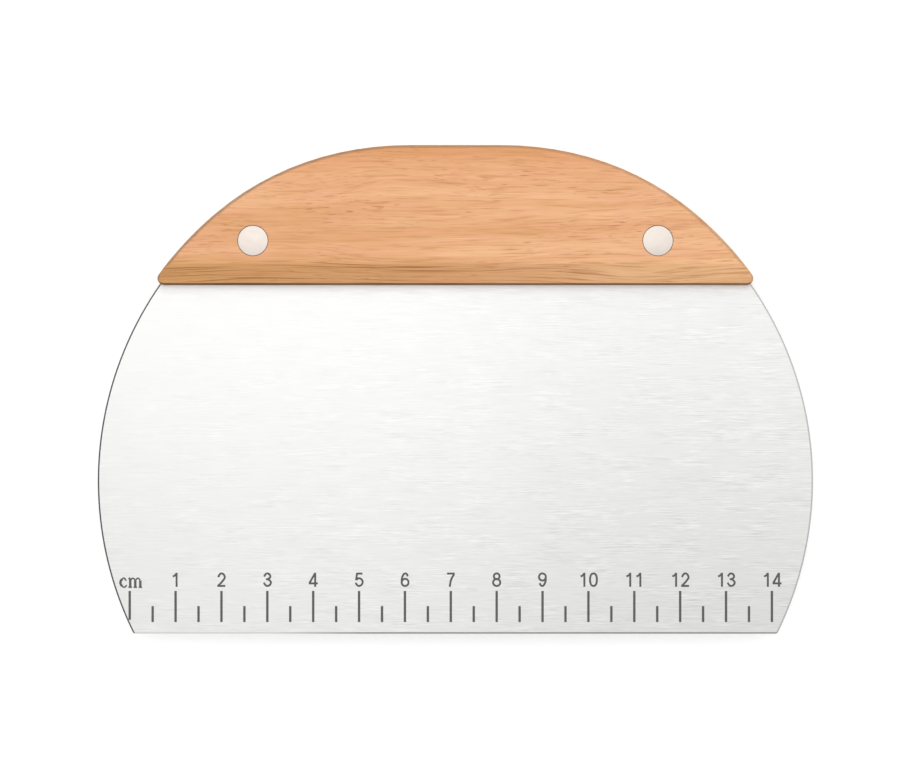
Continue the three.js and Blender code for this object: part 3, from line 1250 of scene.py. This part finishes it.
def etched_oxide():
    finish, tree, shader, place = new_finish("dark etched oxide")
    layers = noise_layers(tree, place, {"bite": ((0.5, 0.5, 0.5), 1)})
    colour = add_node(
        tree, "ShaderNodeMix",
        {MIX_SHARE: layers["bite"], MIX_A: OXIDE_DARK, MIX_B: OXIDE_LIGHT}, data_type="RGBA",
    )
    fill_inputs(tree, shader, {
        "Base Color": colour.outputs[MIX_RESULT], "Roughness": 0.8, "Specular IOR Level": 0.2,
    })
    return finish


rivet_metal = satin_aluminium()
for halves in rivet_halves.values():
    for half in halves:
        wear(half, rivet_metal)
oxide = etched_oxide()
for marks in (scale_ticks, scale_numerals, scale_unit):
    wear(marks, oxide)
print("finishes:", [finish.name for finish in bpy.data.materials if finish.users])

# %% [markdown]
# ## The studio
# The scraper lies on a white table, and the camera looks straight down on it through a long lens. The
# table is matt, so that it keeps the shadow. A little glow that only the camera and reflections see
# makes it as white as the room.

# %% White table
FLOOR_SIZE = 6.0
TABLE_WHITE = linear("f0f0f0")
TABLE_GLOW = 0.4

start_alone()
bpy.ops.mesh.primitive_plane_add(size=FLOOR_SIZE, location=(0, 0, cad_box[0].z))
floor = name_piece("white_table")
settle()


def seen_directly(tree):
    """One for what the camera or a reflection sees, and zero for light that falls on a surface."""
    rays = add_node(tree, "ShaderNodeLightPath").outputs
    seen = rays["Is Camera Ray"]
    for ray in ("Is Glossy Ray", "Is Transmission Ray"):
        seen = add_node(tree, "ShaderNodeMath", {0: seen, 1: rays[ray]}, operation="MAXIMUM").outputs[0]
    return seen


white = bpy.data.materials.new("matt white table")
white.use_nodes = True
table_tree = white.node_tree
table_tree.nodes.clear()
matt = add_node(table_tree, "ShaderNodeBsdfDiffuse", {"Color": TABLE_WHITE})
lift = add_node(
    table_tree, "ShaderNodeMath", {0: seen_directly(table_tree), 1: TABLE_GLOW}, operation="MULTIPLY",
)
glow = add_node(table_tree, "ShaderNodeEmission", {"Strength": lift.outputs[0]})
both = add_node(table_tree, "ShaderNodeAddShader", {0: matt.outputs[0], 1: glow.outputs[0]})
add_node(table_tree, "ShaderNodeOutputMaterial", {"Surface": both.outputs[0]})
wear(floor, white)
print("table at z =", round(cad_box[0].z / MM, 2), "mm")

# %% [markdown]
# The room is white for the camera and for reflections. For the light that falls on wood it is brighter
# beyond the handle than in front, so the bevel under the handle reads darker.

# %% Room
ROOM_WHITE = 1.0
ROOM_BRIGHT = 1.18
ROOM_DIM = 0.57
LIGHT_FROM = (-0.25, 0.85, 0.45)

room = bpy.data.worlds.new("studio room")
bpy.context.scene.world = room
room.use_nodes = True
sky = room.node_tree
sky.nodes.clear()
direction = add_node(sky, "ShaderNodeTexCoord").outputs["Generated"]
towards = add_node(sky, "ShaderNodeVectorMath", {0: direction, 1: LIGHT_FROM}, operation="DOT_PRODUCT")
falloff = add_node(
    sky, "ShaderNodeMapRange",
    {
        "Value": towards.outputs["Value"], "From Min": -1, "From Max": 1,
        "To Min": ROOM_DIM, "To Max": ROOM_BRIGHT,
    },
)
strength = add_node(
    sky, "ShaderNodeMix",
    {MIX_SHARE: seen_directly(sky), FLOAT_A: falloff.outputs[0], FLOAT_B: ROOM_WHITE}, data_type="FLOAT",
)
background = add_node(sky, "ShaderNodeBackground", {"Strength": strength.outputs[0]})
add_node(sky, "ShaderNodeOutputWorld", {"Surface": background.outputs[0]})
print("room light from", ROOM_DIM, "to", ROOM_BRIGHT)

# %% [markdown]
# A long softbox over the handle and beyond it, and a weaker one over the left half, give the steel its
# bright field, which fades towards the working edge and to the right.

# %% Softboxes
SOFTBOXES = {
    "long_softbox": {"x": (-0.3, 0.3), "y": (0.03, 0.28), "height": 0.3, "radiance": 0.77},
    "left_softbox": {"x": (-0.105, 0.016), "y": (-0.15, 0.25), "height": 0.295, "radiance": 0.21},
}

for name, box in SOFTBOXES.items():
    (left, right), (near, far) = box["x"], box["y"]
    start_alone()
    bpy.ops.object.light_add(type="AREA", location=((left + right) / 2, (near + far) / 2, box["height"]))
    softbox = bpy.context.object
    softbox.name = name
    softbox.data.shape = "RECTANGLE"
    softbox.data.size, softbox.data.size_y = right - left, far - near
    softbox.data.energy = box["radiance"] * math.pi * (right - left) * (far - near)
    softbox.visible_camera = False
    print(name, round(softbox.data.energy, 3), "W")

# %% [markdown]
# ## The camera
# The picture shows the scraper square on, with no converging lines, so the camera stands two metres
# above it with a long lens. The lens is worked out from the scale on the blade: one millimetre of steel
# has to cover 4.587 pixels of a picture that is 923 pixels wide.

# %% Camera
PICTURE_WIDTH = 923
PIXELS_PER_MM = 4.587
SENSOR_WIDTH = 36
CAMERA_DISTANCE = 2.0
PICTURE_CENTRE = (1.33 * MM, 53.15 * MM)

start_alone()
bpy.ops.object.camera_add(location=(*PICTURE_CENTRE, blade_high.z + CAMERA_DISTANCE), rotation=(0, 0, 0))
camera = bpy.context.object
camera.name = "long_lens"
camera.data.sensor_width = SENSOR_WIDTH
camera.data.lens = PIXELS_PER_MM * SENSOR_WIDTH * CAMERA_DISTANCE / MM / PICTURE_WIDTH
bpy.context.scene.camera = camera
bpy.context.scene.view_settings.view_transform = "Standard"
print("lens:", round(camera.data.lens, 1), "mm")

# %% [markdown]
# ## Riding on the body
# Each new piece rides on the one body of a tool in which nothing moves, and the imported piece that it
# stands for is hidden. The marks of the scale ride on that body too.

# %% Ride and replace
stands_for = {
    blade: ("blade", "blade_steel"),
    handle: ("handle", "handle_wood"),
}
for kind, halves in rivet_halves.items():
    for side, half in zip(rivet_sides, halves):
        stands_for[half] = (f"rivet_{kind}_{side}", "rivet_metal")
for piece, (node, finish_slot) in stands_for.items():
    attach(piece, "root")
    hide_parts(node)
for marks in (scale_ticks, scale_numerals, scale_unit):
    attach(marks, "root")
